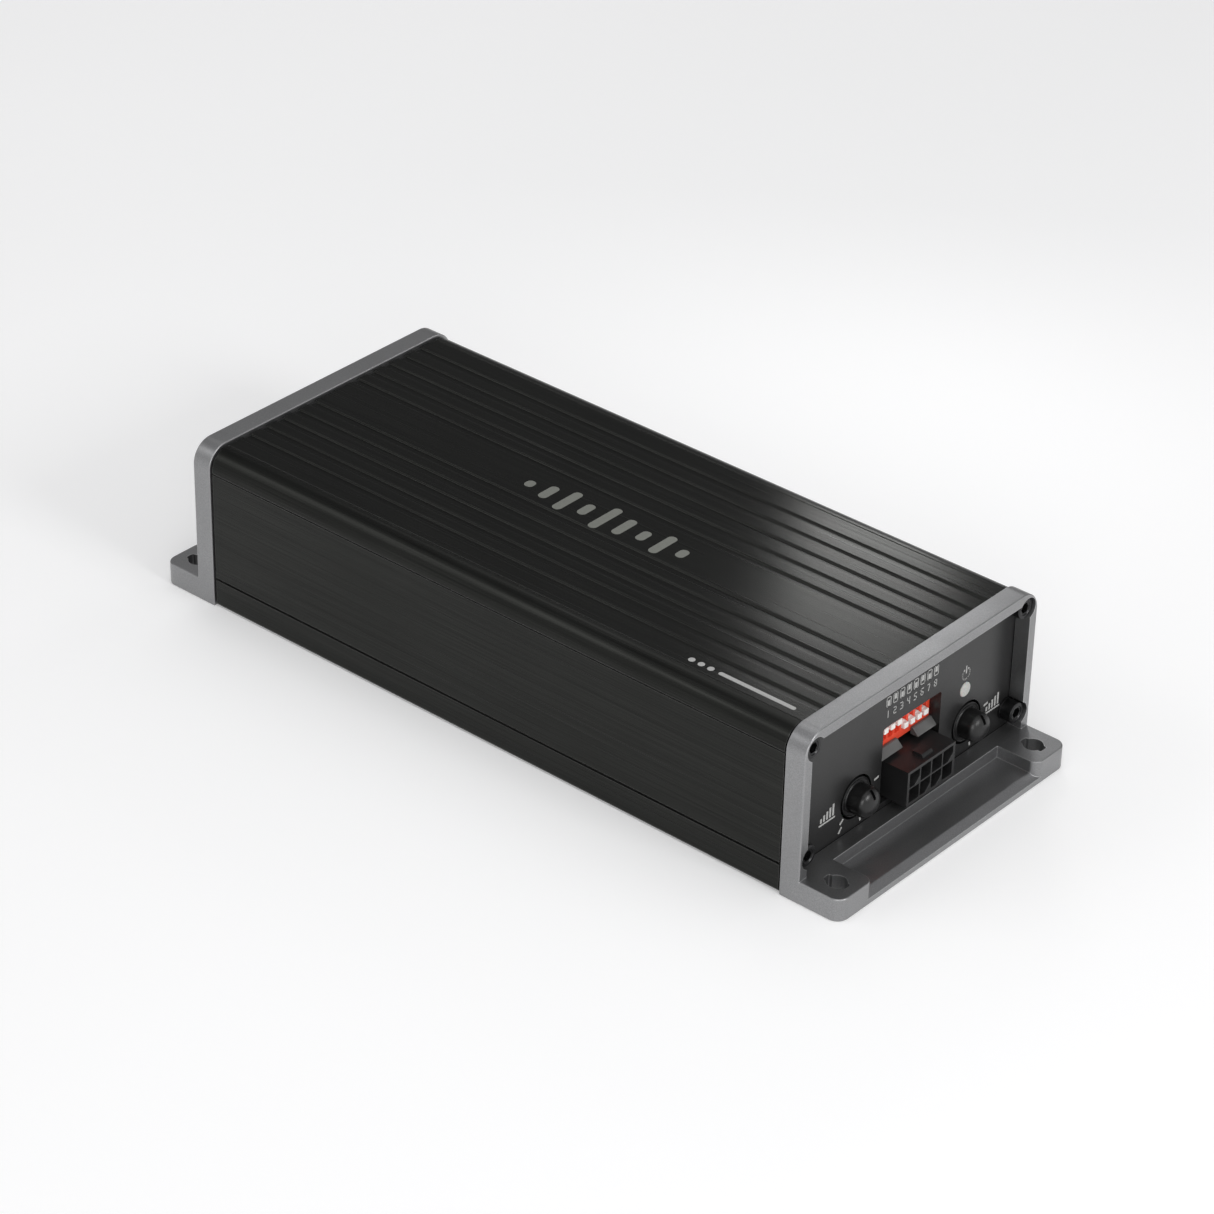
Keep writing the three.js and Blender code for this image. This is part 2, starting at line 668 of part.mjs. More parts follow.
add("power_chip", block([-12, -13, BOARD_TOP + GAP], [4, 3, 10.4]), CHIP_BLACK);
add("amplifier_chip", block([-42, -10, BOARD_TOP + GAP], [-24, 10, 10.8]), CHIP_BLACK);

for (const [name, side] of [["left", -1], ["right", 1]]) {
  const span = (near, far) => (side > 0 ? [near, far] : [-far, -near]);
  const [s0, s1] = span(36.2, 39.4);
  const [f0, f1] = span(30.0, 39.4);
  const [p0, p1] = span(39.6, 40.3);
  const spreader = block([-50, s0, 14.6], [52, s1, 33]).add(block([-50, f0, 14.6], [52, f1, 17.0]));
  add(`heat_spreader_${name}`, spreader, STEEL);
  add(`thermal_pad_${name}`, block([-50, p0, 14.6], [52, p1, 33]), PAD_GREY);
}

export default amplifier;
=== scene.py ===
"""Looks of a compact car amplifier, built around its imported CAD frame.

Sizes are in millimetres and are scaled to metres when a piece is finished. The frame is the CAD's own:
+X towards the control end, +Y to the far side, +Z up.
"""
from math import cos, pi, radians, sin

import bmesh
import bpy
from mathutils import Matrix, Vector


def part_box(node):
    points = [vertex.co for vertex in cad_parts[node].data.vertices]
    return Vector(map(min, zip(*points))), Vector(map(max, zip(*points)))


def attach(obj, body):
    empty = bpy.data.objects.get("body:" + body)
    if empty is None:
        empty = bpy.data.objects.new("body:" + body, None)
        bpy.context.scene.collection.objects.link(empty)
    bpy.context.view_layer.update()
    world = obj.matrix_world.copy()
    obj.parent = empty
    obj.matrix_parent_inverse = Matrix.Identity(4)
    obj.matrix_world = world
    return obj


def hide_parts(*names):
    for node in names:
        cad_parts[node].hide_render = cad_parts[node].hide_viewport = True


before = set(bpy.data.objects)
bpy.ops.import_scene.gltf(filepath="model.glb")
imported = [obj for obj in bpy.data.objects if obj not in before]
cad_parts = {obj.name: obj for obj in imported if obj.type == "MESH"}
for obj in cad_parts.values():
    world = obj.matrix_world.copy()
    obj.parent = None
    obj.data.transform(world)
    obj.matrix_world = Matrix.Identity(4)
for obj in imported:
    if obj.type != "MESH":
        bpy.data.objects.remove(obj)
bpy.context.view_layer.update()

MM = 0.001
SCENE = bpy.context.scene.collection

# ---------------------------------------------------------------- sizes inside the nodes, in millimetres
GROOVE_FIRST = 7.8
GROOVE_PITCH = 5.66
GROOVE_COUNT = 5
BODY_RADIUS = 5.3
BODY_WALL = 2.3
BODY_FLOOR = 1.9
BODY_ROOF = 2.6
BODY_LOWER_RADIUS = 0.8
TOP_LINE_INSET = 0.3
SIDE_GROOVE_Z = 8.0
SIDE_LINE_Z = 38.0

CAP_DEPTH = 5.6
CAP_RADIUS = 5.8
FOOT_HEIGHT = 6.1
FOOT_RADIUS = 3.1
EAR_RADIUS = 2.4
TRAY_HALF_WIDTH = 31.1
TRAY_FLOOR = 2.9
TRAY_LIP = 1.65
TRAY_SLOPE = 2.3
MOUNTING_HOLE_X = 102.0
MOUNTING_HOLE_Y = 37.3
MOUNTING_HOLE_RADIUS = 2.5
MOUNTING_SLOT = (3.05, 1.2)  # half length and half width
OPENING_HALF_WIDTH = 40.6
OPENING_TOP = 41.7
OPENING_RADIUS = 2.6
SCREW_POCKET_RADIUS = 3.0

SCREW_HEAD_HEIGHT = 3.45
SCREW_HEAD_RADIUS = 2.75
SCREW_SHANK_RADIUS = 1.3
SCREW_SOCKET_RADIUS = 1.45
SCREW_SOCKET_DEPTH = 1.6
WASHER_RADIUS = 2.95

PANEL_THICKNESS = 1.2
PANEL_HALF_WIDTH = 41.5
PANEL_HEIGHTS = (5.35, 42.6)
PANEL_SCREW_HOLE = 1.7
LIGHT_HOLE_RADIUS = 2.0
LIGHT_RADIUS = 1.9
LIGHT_FLANGE_RADIUS = 2.6
LIGHT_FLANGE = (88.45, 90.3)  # its back and its front
KNOB_GAP = 0.6
SHROUD_WALL = 1.8
WINDOW_BOTTOM = 7.6
WINDOW_TOP = 28.3
WINDOW_SIDES = (-8.8, 13.0)
LATCH_GAP = (0.2, 6.0)
REAR_WINDOW_TOP = 18.2
FUSE_WINDOW_TOP = 14.6
OUTPUT_HALF_WINDOW = 11.6
POWER_HALF_WINDOW = 7.4
FUSE_HALF_WINDOW = 6.9

HEADER_RIM = 0.6
CELL_PITCH = 4.2
CELL_SIZE = 3.75
POWER_PITCH = 6.3
POWER_CELL = 5.7
DIP_COUNT = 8
DIP_PITCH = 2.54
DIP_TRAVEL = 2.1
SLOT_HALF_WIDTH = 0.9

KNOB_NECK = 3.8
KNOB_LENGTH = 6.7
KNOB_BORE = 1.6
NOTCH_HALF_WIDTH = 0.42


# ---------------------------------------------------------------- places taken from the frame
class Extent:
    """The box of one CAD node, or of several together, in millimetres."""

    def __init__(self, *nodes):
        boxes = [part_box(node) for node in nodes]
        self.x0, self.y0, self.z0 = [min(low[i] for low, _ in boxes) / MM for i in range(3)]
        self.x1, self.y1, self.z1 = [max(high[i] for _, high in boxes) / MM for i in range(3)]
        self.x, self.y, self.z = (self.x0 + self.x1) / 2, (self.y0 + self.y1) / 2, (self.z0 + self.z1) / 2


BODY = Extent("heatsink_body")
CAP = Extent("front_end_cap")
PANEL = Extent("front_panel")
KNOBS = [Extent("gain_knob_1"), Extent("gain_knob_2")]
LIGHT = Extent("light_pipe")
SWITCH = Extent("dip_switch_body")
CAP_FACE = CAP.x0 + CAP_DEPTH
SCREWS = [Extent(f"front_screw_{n}") for n in range(1, 5)]


# ---------------------------------------------------------------- outlines
def arc(cx, cy, radius, start, end, steps):
    """Points along an arc, angles in quarter turns."""
    points = []
    for i in range(steps + 1):
        angle = (start + (end - start) * i / steps) * pi / 2
        points.append((cx + radius * cos(angle), cy + radius * sin(angle)))
    return points


def circle(cx, cy, radius, sides=48):
    return arc(cx, cy, radius, 0, 4, sides)[:-1]


def rounded(x0, y0, x1, y1, low_radius, high_radius=None, steps=8):
    """A rectangle whose lower and upper corners have their own radii."""
    low, high = low_radius, low_radius if high_radius is None else high_radius

    def corner(cx, cy, radius, start):
        return arc(cx, cy, radius, start, start + 1, steps) if radius else [(cx, cy)]

    return [
        *corner(x0 + low, y0 + low, low, 2),
        *corner(x1 - low, y0 + low, low, 3),
        *corner(x1 - high, y1 - high, high, 0),
        *corner(x0 + high, y1 - high, high, 1),
    ]


# ---------------------------------------------------------------- solids
PLACES = {
    "X": lambda u, v, w: (w, u, v),
    "Y": lambda u, v, w: (u, w, v),
    "Z": lambda u, v, w: (u, v, w),
}


def solid(bm):
    """A loose object from a bmesh, with its faces turned outwards."""
    bmesh.ops.remove_doubles(bm, verts=bm.verts, dist=1e-5)
    bmesh.ops.recalc_face_normals(bm, faces=bm.faces)
    mesh = bpy.data.meshes.new("solid")
    bm.to_mesh(mesh)
    bm.free()
    made = bpy.data.objects.new("solid", mesh)
    SCENE.objects.link(made)
    return made


def prism(outline, low, high, along="X"):
    """The outline pushed along one axis. It lies in the other two axes, in alphabetical order."""
    bm = bmesh.new()
    place = PLACES[along]
    first = [bm.verts.new(place(u, v, low)) for u, v in outline]
    last = [bm.verts.new(place(u, v, high)) for u, v in outline]
    bm.faces.new(list(reversed(first)))
    bm.faces.new(last)
    for i in range(len(outline)):
        j = (i + 1) % len(outline)
        bm.faces.new((first[i], first[j], last[j], last[i]))
    return solid(bm)


def block(low, high):
    outline = [(low[1], low[2]), (high[1], low[2]), (high[1], high[2]), (low[1], high[2])]
    return prism(outline, low[0], high[0])


def turned(profile, y, z, sides=72):
    """A solid turned about the line along X through (y, z), from (x, radius) points that end on that line."""
    bm = bmesh.new()
    rings = []
    for x, radius in profile:
        if radius == 0:
            rings.append([bm.verts.new((x, y, z))] * sides)
        else:
            rings.append([bm.verts.new((x, y + v, z + w)) for v, w in circle(0, 0, radius, sides)])
    for ring, other in zip(rings, rings[1:]):
        for i in range(sides):
            j = (i + 1) % sides
            corners = []
            for vertex in (ring[i], ring[j], other[j], other[i]):
                if vertex not in corners:
                    corners.append(vertex)
            if len(corners) > 2:
                bm.faces.new(corners)
    return solid(bm)


def baked(piece):
    """Applies a piece's modifiers to its mesh."""
    bpy.context.view_layer.update()
    depsgraph = bpy.context.evaluated_depsgraph_get()
    mesh = bpy.data.meshes.new_from_object(piece.evaluated_get(depsgraph))
    piece.modifiers.clear()
    piece.data = mesh
    return piece


def combined(base, tools, operation):
    for tool in tools:
        modifier = base.modifiers.new(operation.lower(), "BOOLEAN")
        modifier.operation = operation
        modifier.solver = "EXACT"
        modifier.object = tool
    baked(base)
    for tool in tools:
        bpy.data.objects.remove(tool)
    return base


def cut(base, *tools):
    return combined(base, tools, "DIFFERENCE")


def joined(base, *parts):
    return combined(base, parts, "UNION")


def gathered(parts):
    """Several separate solids held by one object, without a boolean."""
    bm = bmesh.new()
    for part in parts:
        bm.from_mesh(part.data)
        bpy.data.objects.remove(part)
    return solid(bm)


def rolled(piece, width, segments=3, sharper_than=34):
    """Rounds every sharp edge of a piece by the given width."""
    bm = bmesh.new()
    bm.from_mesh(piece.data)
    bmesh.ops.remove_doubles(bm, verts=bm.verts, dist=1e-3)
    bm.to_mesh(piece.data)
    bm.free()
    modifier = piece.modifiers.new("roll", "BEVEL")
    modifier.width = width
    modifier.segments = segments
    modifier.limit_method = "ANGLE"
    modifier.angle_limit = radians(sharper_than)
    modifier.use_clamp_overlap = False
    return baked(piece)


def smoothed(piece, sharper_than):
    """Smooth shading between flat faces, with edges over an angle kept sharp."""
    bm = bmesh.new()
    bm.from_mesh(piece.data)
    for face in bm.faces:
        face.smooth = True
    for edge in bm.edges:
        edge.smooth = len(edge.link_faces) == 2 and edge.calc_face_angle(0) < radians(sharper_than)
    bm.to_mesh(piece.data)
    bm.free()
    modifier = piece.modifiers.new("flat faces", "WEIGHTED_NORMAL")
    modifier.keep_sharp = True
    modifier.weight = 80
    return piece


def finished(piece, name, look, body, nodes=(), sharper_than=38):
    """Scales a piece to metres, names and paints it, and makes it ride on its body."""
    piece.data.transform(Matrix.Scale(MM, 4))
    piece.name = name
    piece.data.name = name
    piece.data.materials.clear()
    piece.data.materials.append(look)
    smoothed(piece, sharper_than)
    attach(piece, body)
    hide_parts(*nodes)
    return piece


def other_end(piece):
    """Turns a piece of the control end half round about Z, to the far end."""
    piece.data.transform(Matrix.Rotation(pi, 4, "Z"))
    return piece


# ---------------------------------------------------------------- materials
class Surface:
    """A material under construction: a Principled shader with its texture nodes."""

    def __init__(self, name, metallic=0.0, **constants):
        self.material = bpy.data.materials.new(name)
        self.material.use_nodes = True
        tree = self.material.node_tree
        self.nodes, self.links = tree.nodes, tree.links
        self.shader = next(n for n in self.nodes if n.type == "BSDF_PRINCIPLED")
        self.shader.inputs["Metallic"].default_value = metallic
        for socket, value in constants.items():
            self.shader.inputs[socket.replace("_", " ")].default_value = value
        self.place = self.nodes.new("ShaderNodeTexCoord").outputs["Object"]

    def noise(self, size, detail=3.0, stretch=(1, 1, 1), roughness=0.5):
        """Noise with features of about size millimetres, longer by stretch along each axis."""
        mapping = self.nodes.new("ShaderNodeMapping")
        mapping.inputs["Scale"].default_value = [1 / (size * MM * s) for s in stretch]
        self.links.new(self.place, mapping.inputs["Vector"])
        texture = self.nodes.new("ShaderNodeTexNoise")
        texture.inputs["Scale"].default_value = 1.0
        texture.inputs["Detail"].default_value = detail
        texture.inputs["Roughness"].default_value = roughness
        self.links.new(mapping.outputs["Vector"], texture.inputs["Vector"])
        return texture.outputs["Fac"]

    def math(self, operation, first, second):
        node = self.nodes.new("ShaderNodeMath")
        node.operation = operation
        for socket, value in zip(node.inputs, (first, second)):
            if isinstance(value, (int, float)):
                socket.default_value = value
            else:
                self.links.new(value, socket)
        return node.outputs["Value"]

    def spread(self, value, low, high, start=0.3, end=0.7):
        """Maps a value between start and end onto low to high."""
        node = self.nodes.new("ShaderNodeMapRange")
        node.inputs["From Min"].default_value = start
        node.inputs["From Max"].default_value = end
        node.inputs["To Min"].default_value = low
        node.inputs["To Max"].default_value = high
        self.links.new(value, node.inputs["Value"])
        return node.outputs["Result"]

    def blend(self, factor, first, second):
        """Mixes two colours, each a grey, an RGB triple or a socket."""
        node = self.nodes.new("ShaderNodeMix")
        node.data_type = "RGBA"
        self.links.new(factor, node.inputs["Factor"])
        for socket, value in zip((node.inputs[6], node.inputs[7]), (first, second)):
            if isinstance(value, (int, float)):
                socket.default_value = (value, value, value, 1)
            elif isinstance(value, tuple):
                socket.default_value = (*value, 1)
            else:
                self.links.new(value, socket)
        return node.outputs[2]

    def edges(self, radius, gain=6.0):
        """About 1 on edges rounder than the surface round them, and 0 on flat faces."""
        bevel = self.nodes.new("ShaderNodeBevel")
        bevel.samples = 4
        bevel.inputs["Radius"].default_value = radius * MM
        geometry = self.nodes.new("ShaderNodeNewGeometry")
        dot = self.nodes.new("ShaderNodeVectorMath")
        dot.operation = "DOT_PRODUCT"
        self.links.new(bevel.outputs["Normal"], dot.inputs[0])
        self.links.new(geometry.outputs["Normal"], dot.inputs[1])
        return self.spread(dot.outputs["Value"], 1, 0, 1 - 1 / gain, 1)

    def bumps(self, height, depth):
        """Relief of about depth millimetres."""
        bump = self.nodes.new("ShaderNodeBump")
        bump.inputs["Strength"].default_value = 1.0
        bump.inputs["Distance"].default_value = depth * MM
        self.links.new(height, bump.inputs["Height"])
        self.links.new(bump.outputs["Normal"], self.shader.inputs["Normal"])

    def done(self, color, roughness):
        self.links.new(color, self.shader.inputs["Base Color"])
        self.links.new(roughness, self.shader.inputs["Roughness"])
        return self.material


def shade(color, factor):
    return tuple(channel * factor for channel in color)


def moulded(name, color, roughness=0.42, grain=0.25, relief=0.006, vary=0.25, wear=0.35, **constants):
    """Moulded plastic: faint cloudiness, a fine spark-eroded grain and slightly polished edges."""
    s = Surface(name, **constants)
    cloud = s.noise(9, 4)
    fine = s.noise(grain, 2)
    base = s.blend(s.spread(cloud, 0, 1), shade(color, 1 - vary), shade(color, 1 + vary))
    rim = s.edges(0.25)
    tint = s.blend(s.math("MULTIPLY", rim, wear), base, shade(color, 1.9))
    s.bumps(fine, relief)
    dull = s.spread(cloud, roughness - 0.05, roughness + 0.07)
    return s.done(tint, s.math("SUBTRACT", dull, s.math("MULTIPLY", rim, 0.08)))


def black_aluminium():
    """Black anodised extrusion, brushed along X."""
    s = Surface("black_aluminium", metallic=0.9, Anisotropic=0.68, IOR=1.45)
    lines = s.noise(0.16, 3, (260, 1, 1), 0.6)
    streaks = s.noise(0.7, 2, (150, 1, 1))
    cloud = s.noise(28, 3)
    base = s.blend(s.spread(lines, 0, 1, 0.25, 0.75), (0.010, 0.0102, 0.0095), (0.036, 0.037, 0.034))
    patchy = s.blend(s.spread(cloud, 0, 0.35), base, (0.016, 0.0165, 0.015))
    rim = s.edges(0.22, 6)
    tint = s.blend(s.math("MULTIPLY", rim, 0.7), patchy, (0.17, 0.17, 0.165))
    dull = s.spread(streaks, 0.22, 0.28)
    tangent = s.nodes.new("ShaderNodeTangent")
    tangent.direction_type = "RADIAL"
    tangent.axis = "X"
    s.links.new(tangent.outputs["Tangent"], s.shader.inputs["Tangent"])
    s.bumps(lines, 0.004)
    return s.done(tint, dull)


def cast_satin():
    """Die-cast end caps with a fine metallic paint, and a painted highlight along their rounded edges."""
    s = Surface("cast_satin", metallic=0.94, IOR=1.5, Coat_Weight=0.12, Coat_Roughness=0.35)
    flake = s.noise(0.22, 2, roughness=0.7)
    peel = s.noise(0.9, 3)
    cloud = s.noise(16, 3)
    base = s.blend(s.spread(flake, 0, 1), (0.235, 0.236, 0.240), (0.345, 0.346, 0.350))
    patchy = s.blend(s.spread(cloud, 0, 0.4), base, (0.262, 0.262, 0.265))
    # Painted highlight: the base colour is lightened to pale grey along the rounded edges.
    rim = s.edges(0.4, 5)
    tint = s.blend(s.math("MULTIPLY", rim, 0.75), patchy, (0.66, 0.66, 0.665))
    s.bumps(s.math("ADD", peel, s.math("MULTIPLY", flake, 0.5)), 0.012)
    return s.done(tint, s.spread(cloud, 0.36, 0.42))


def panel_black():
    """Powder-coated panel."""
    s = Surface("panel_black", metallic=0.15, IOR=1.5)
    grit = s.noise(0.35, 3, roughness=0.65)
    cloud = s.noise(14, 3)
    base = s.blend(s.spread(grit, 0, 1), (0.010, 0.010, 0.010), (0.020, 0.020, 0.020))
    tint = s.blend(s.math("MULTIPLY", s.edges(0.2), 0.35), base, (0.09, 0.09, 0.09))
    s.bumps(grit, 0.008)
    return s.done(tint, s.spread(cloud, 0.30, 0.36))


def black_oxide():
    """Oxide-blacked socket screws with faint turning marks."""
    s = Surface("screw_black", metallic=0.9)
    marks = s.noise(0.12, 3)
    cloud = s.noise(2.5, 2)
    base = s.blend(s.spread(cloud, 0, 1), (0.018, 0.018, 0.019), (0.042, 0.042, 0.043))
    tint = s.blend(s.math("MULTIPLY", s.edges(0.2), 0.5), base, (0.16, 0.16, 0.16))
    s.bumps(marks, 0.006)
    return s.done(tint, s.spread(marks, 0.28, 0.42))


def plated(name, color, roughness=0.28, grain=0.3):
    """Plated or plain sheet metal with a drawn grain and dulled patches."""
    s = Surface(name, metallic=1.0)
    drawn = s.noise(grain, 3, (12, 1, 1))
    cloud = s.noise(5, 3)
    base = s.blend(s.spread(cloud, 0, 1), shade(color, 0.72), shade(color, 1.1))
    tint = s.blend(s.math("MULTIPLY", s.edges(0.15), 0.4), base, shade(color, 1.3))
    s.bumps(drawn, 0.004)
    return s.done(tint, s.spread(drawn, roughness - 0.06, roughness + 0.1))


def printed_ink(name, color):
    """Screen-printed ink, a little uneven."""
    s = Surface(name)
    speckle = s.noise(0.25, 3)
    base = s.blend(s.spread(speckle, 0, 1), shade(color, 0.8), shade(color, 1.08))
    s.bumps(speckle, 0.003)
    return s.done(base, s.spread(speckle, 0.5, 0.62))


def circuit_board():
    """Green solder mask over copper tracks."""
    s = Surface("board_green", IOR=1.5, Coat_Weight=0.3, Coat_Roughness=0.2)
    cells = s.nodes.new("ShaderNodeTexVoronoi")
    cells.distance = "CHEBYCHEV"
    cells.feature = "F1"
    cells.inputs["Scale"].default_value = 260
    s.links.new(s.place, cells.inputs["Vector"])
    tracks = s.spread(cells.outputs["Distance"], 0, 1, 0.42, 0.48)
    tint = s.blend(tracks, (0.006, 0.060, 0.022), (0.016, 0.135, 0.050))
    s.bumps(tracks, 0.03)
    return s.done(tint, s.spread(s.noise(3), 0.3, 0.42))


def windings():
    """Close turns of enamelled wire round the middle leg of the transformer."""
    s = Surface("copper", metallic=1.0, Coat_Weight=0.5, Coat_Roughness=0.15)
    wave = s.nodes.new("ShaderNodeTexWave")
    wave.bands_direction = "Z"
    wave.inputs["Scale"].default_value = 340
    wave.inputs["Distortion"].default_value = 0.4
    s.links.new(s.place, wave.inputs["Vector"])
    tint = s.blend(wave.outputs["Fac"], (0.30, 0.095, 0.030), (0.72, 0.30, 0.12))
    s.bumps(wave.outputs["Fac"], 0.12)
    return s.done(tint, s.spread(s.noise(2), 0.22, 0.36))


def frosted_plastic():
    """Frosted, slightly milky light pipe."""
    s = Surface("frosted_clear", Transmission_Weight=0.25, IOR=1.49, Subsurface_Weight=0.2)
    s.shader.inputs["Subsurface Scale"].default_value = 1.2 * MM
    haze = s.noise(0.5, 3)
    tint = s.blend(s.spread(haze, 0, 1), (0.50, 0.51, 0.49), (0.66, 0.66, 0.64))
    s.bumps(haze, 0.008)
    return s.done(tint, s.spread(haze, 0.36, 0.48))


LOOKS = {
    "black_aluminium": black_aluminium(),
    "cast_satin": cast_satin(),
    "panel_black": panel_black(),
    "screw_black": black_oxide(),
    "black_plastic": moulded("black_plastic", (0.012, 0.012, 0.0122), 0.40),
    "knob_black": moulded("knob_black", (0.005, 0.005, 0.005), 0.33, relief=0.004),
    # Painted highlight: the switch ledges are part of the black panel, given a light grey for the light on
    # their sloped faces.
    "ledge_painted_lit_grey": moulded("ledge_painted_lit_grey", (0.11, 0.11, 0.108), 0.38),
    "gasket_rubber": moulded("gasket_rubber", (0.010, 0.010, 0.010), 0.75, wear=0.1),
    "switch_red": moulded("switch_red", (0.80, 0.075, 0.035), 0.42, vary=0.12, wear=0.12),
    "switch_white": moulded("switch_white", (0.90, 0.89, 0.86), 0.45, vary=0.05, wear=0.05),
    "fuse_red": moulded("fuse_red", (0.55, 0.03, 0.02), 0.22, Transmission_Weight=0.35, vary=0.1),
    "ferrite": moulded("ferrite", (0.030, 0.030, 0.032), 0.62, grain=0.15, relief=0.02),
    "chip_black": moulded("chip_black", (0.016, 0.016, 0.017), 0.55, grain=0.1, relief=0.01),
    "sleeve_blue": moulded("sleeve_blue", (0.016, 0.026, 0.085), 0.3, grain=2.0, relief=0.02),
    "pad_grey": moulded("pad_grey", (0.26, 0.29, 0.32), 0.8, grain=0.4, relief=0.03),
    "steel": plated("steel", (0.46, 0.46, 0.47), 0.34),
    "tinned": plated("tinned", (0.62, 0.59, 0.52), 0.24),
    "copper": windings(),
    "board_green": circuit_board(),
    "frosted_clear": frosted_plastic(),
}
WHITE_INK = printed_ink("white_ink", (0.42, 0.42, 0.41))
GREY_INK = printed_ink("grey_ink", (0.17, 0.175, 0.155))


# ---------------------------------------------------------------- heatsink body
# Distance from the middle of a groove and depth, from its lip down to its flat floor.
GROOVE_LIP = [(1.45, 0), (1.36, 0.015), (1.27, 0.06), (1.2, 0.14), (1.14, 0.3), (1.06, 0.42), (0.94, 0.48)]


def groove(centre):
    """(y, depth) points across a shallow groove with rolled lips, from its outer lip to its inner one."""
    outer = [(centre + offset, depth) for offset, depth in GROOVE_LIP]
    return outer + [(2 * centre - y, depth) for y, depth in reversed(outer)]


def fine_line(centre, width, depth):
    """A shallow flat-bottomed line across a face, as (place, depth) points in falling order."""
    half, bottom = width / 2, width / 5
    return [(centre + half, 0), (centre + bottom, depth), (centre - bottom, depth), (centre - half, 0)]


def body_outline():
    """The extrusion's section, without its hollow, as (y, z) points."""
    edge = BODY.y1
    rise = [*reversed(fine_line(SIDE_GROOVE_Z, 0.8, 0.45)), *reversed(fine_line(SIDE_LINE_Z, 0.5, 0.25))]
    top = fine_line(edge - BODY_RADIUS - TOP_LINE_INSET, 0.5, 0.25)
    for i in reversed(range(GROOVE_COUNT)):
        top += groove(GROOVE_FIRST + i * GROOVE_PITCH)
    half = [
        *arc(edge - BODY_LOWER_RADIUS, BODY.z0 + BODY_LOWER_RADIUS, BODY_LOWER_RADIUS, 3, 4, 4),
        *[(edge - depth, z) for z, depth in rise],
        *arc(edge - BODY_RADIUS, BODY.z1 - BODY_RADIUS, BODY_RADIUS, 0, 1, 14),
        *[(y, BODY.z1 - depth) for y, depth in top],
    ]
    return half + [(-y, z) for y, z in reversed(half)]


def heatsink_body():
    half = BODY.y1 - BODY_WALL
    inner = rounded(-half, BODY.z0 + BODY_FLOOR, half, BODY.z1 - BODY_ROOF, 0.6, 3.4)
    body = cut(prism(body_outline(), BODY.x0, BODY.x1), prism(inner, BODY.x0 - 1, BODY.x1 + 1))
    finished(body, "heatsink", LOOKS["black_aluminium"], "chassis", ["heatsink_body"])


# ---------------------------------------------------------------- end caps
def foot_tray():
    """The hollow between the ears: a level floor, a sloping outer edge and rounded ear corners."""
    half, tip, back = TRAY_HALF_WIDTH, CAP.x1, CAP_FACE + 0.2
    plan = [
        (back, -half),
        *arc(tip - EAR_RADIUS, -half - EAR_RADIUS, EAR_RADIUS, 1, 0, 8),
        (tip + 2, -half - EAR_RADIUS),
        (tip + 2, half + EAR_RADIUS),
        *arc(tip - EAR_RADIUS, half + EAR_RADIUS, EAR_RADIUS, 0, -1, 8),
        (back, half),
    ]
    section = [
        (back - 1, TRAY_FLOOR),
        (tip - TRAY_SLOPE, TRAY_FLOOR),
        (tip, TRAY_LIP),
        (tip + 2, TRAY_LIP),
        (tip + 2, 10),
        (back - 1, 10),
    ]
    hollow = prism(plan, 0.5, 10, "Z")
    return combined(hollow, [prism(section, -CAP.y1, CAP.y1, "Y")], "INTERSECT")


def mounting_hole(side):
    """The hole through one ear, lengthened a little by a narrower slot."""
    x, y = MOUNTING_HOLE_X, side * MOUNTING_HOLE_Y
    long, wide = MOUNTING_SLOT
    hole = prism(circle(x, y, MOUNTING_HOLE_RADIUS), -1, FOOT_HEIGHT + 1, "Z")
    slot = rounded(x - long, y - wide, x + long, y + wide, 0.5, steps=4)
    return joined(hole, prism(slot, -1.5, FOOT_HEIGHT + 1.5, "Z"))


def end_cap():
    """A cap at the control end: a ring round the opening, its foot with two ears, and the screw pockets."""
    half, tip = CAP.y1, CAP.x1
    ring = rolled(prism(rounded(-half, 0, half, CAP.z1, 0, CAP_RADIUS, 14), CAP.x0, CAP_FACE), 0.3)
    plan = [
        (CAP_FACE - 1, -half),
        *arc(tip - FOOT_RADIUS, -half + FOOT_RADIUS, FOOT_RADIUS, 3, 4, 10),
        *arc(tip - FOOT_RADIUS, half - FOOT_RADIUS, FOOT_RADIUS, 0, 1, 10),
        (CAP_FACE - 1, half),
    ]
    foot = rolled(prism(plan, 0, FOOT_HEIGHT, "Z"), 0.36)
    opening = rounded(-OPENING_HALF_WIDTH, FOOT_HEIGHT, OPENING_HALF_WIDTH, OPENING_TOP, 0, OPENING_RADIUS)
    rabbet = rounded(-41.7, 5.1, 41.7, 42.8, 1, 4.2)
    cutters = [
        prism(opening, CAP.x0 - 1, CAP_FACE + 1),
        prism(rabbet, CAP.x0 - 1, PANEL.x1 + 0.15),
        foot_tray(),
        mounting_hole(-1),
        mounting_hole(1),
    ]
    for screw in SCREWS:
        cutters.append(prism(circle(screw.y, screw.z, SCREW_POCKET_RADIUS, 36), CAP.x0 + 1, CAP_FACE + 1))
    return rolled(cut(joined(ring, foot), *cutters), 0.1, 2, 40)


def cap_screw(screw):
    """A socket cap screw with its washer."""
    back, face, radius = screw.x1 - SCREW_HEAD_HEIGHT, screw.x1, SCREW_HEAD_RADIUS
    head = turned(
        [
            (screw.x0, 0),
            (screw.x0, 1.0),
            (screw.x0 + 0.3, SCREW_SHANK_RADIUS),
            (back, SCREW_SHANK_RADIUS),
            (back, WASHER_RADIUS),
            (back + 0.4, WASHER_RADIUS),
            (back + 0.4, radius),
            (face - 0.35, radius),
            (face - 0.1, radius - 0.12),
            (face, radius - 0.4),
            (face, 1.85),
            (face - 0.25, 1.6),
            (face - 0.25, 0),
        ],
        screw.y,
        screw.z,
        48,
    )
    socket = prism(circle(screw.y, screw.z, SCREW_SOCKET_RADIUS, 6), face - SCREW_SOCKET_DEPTH, face + 1)
    return cut(head, socket)


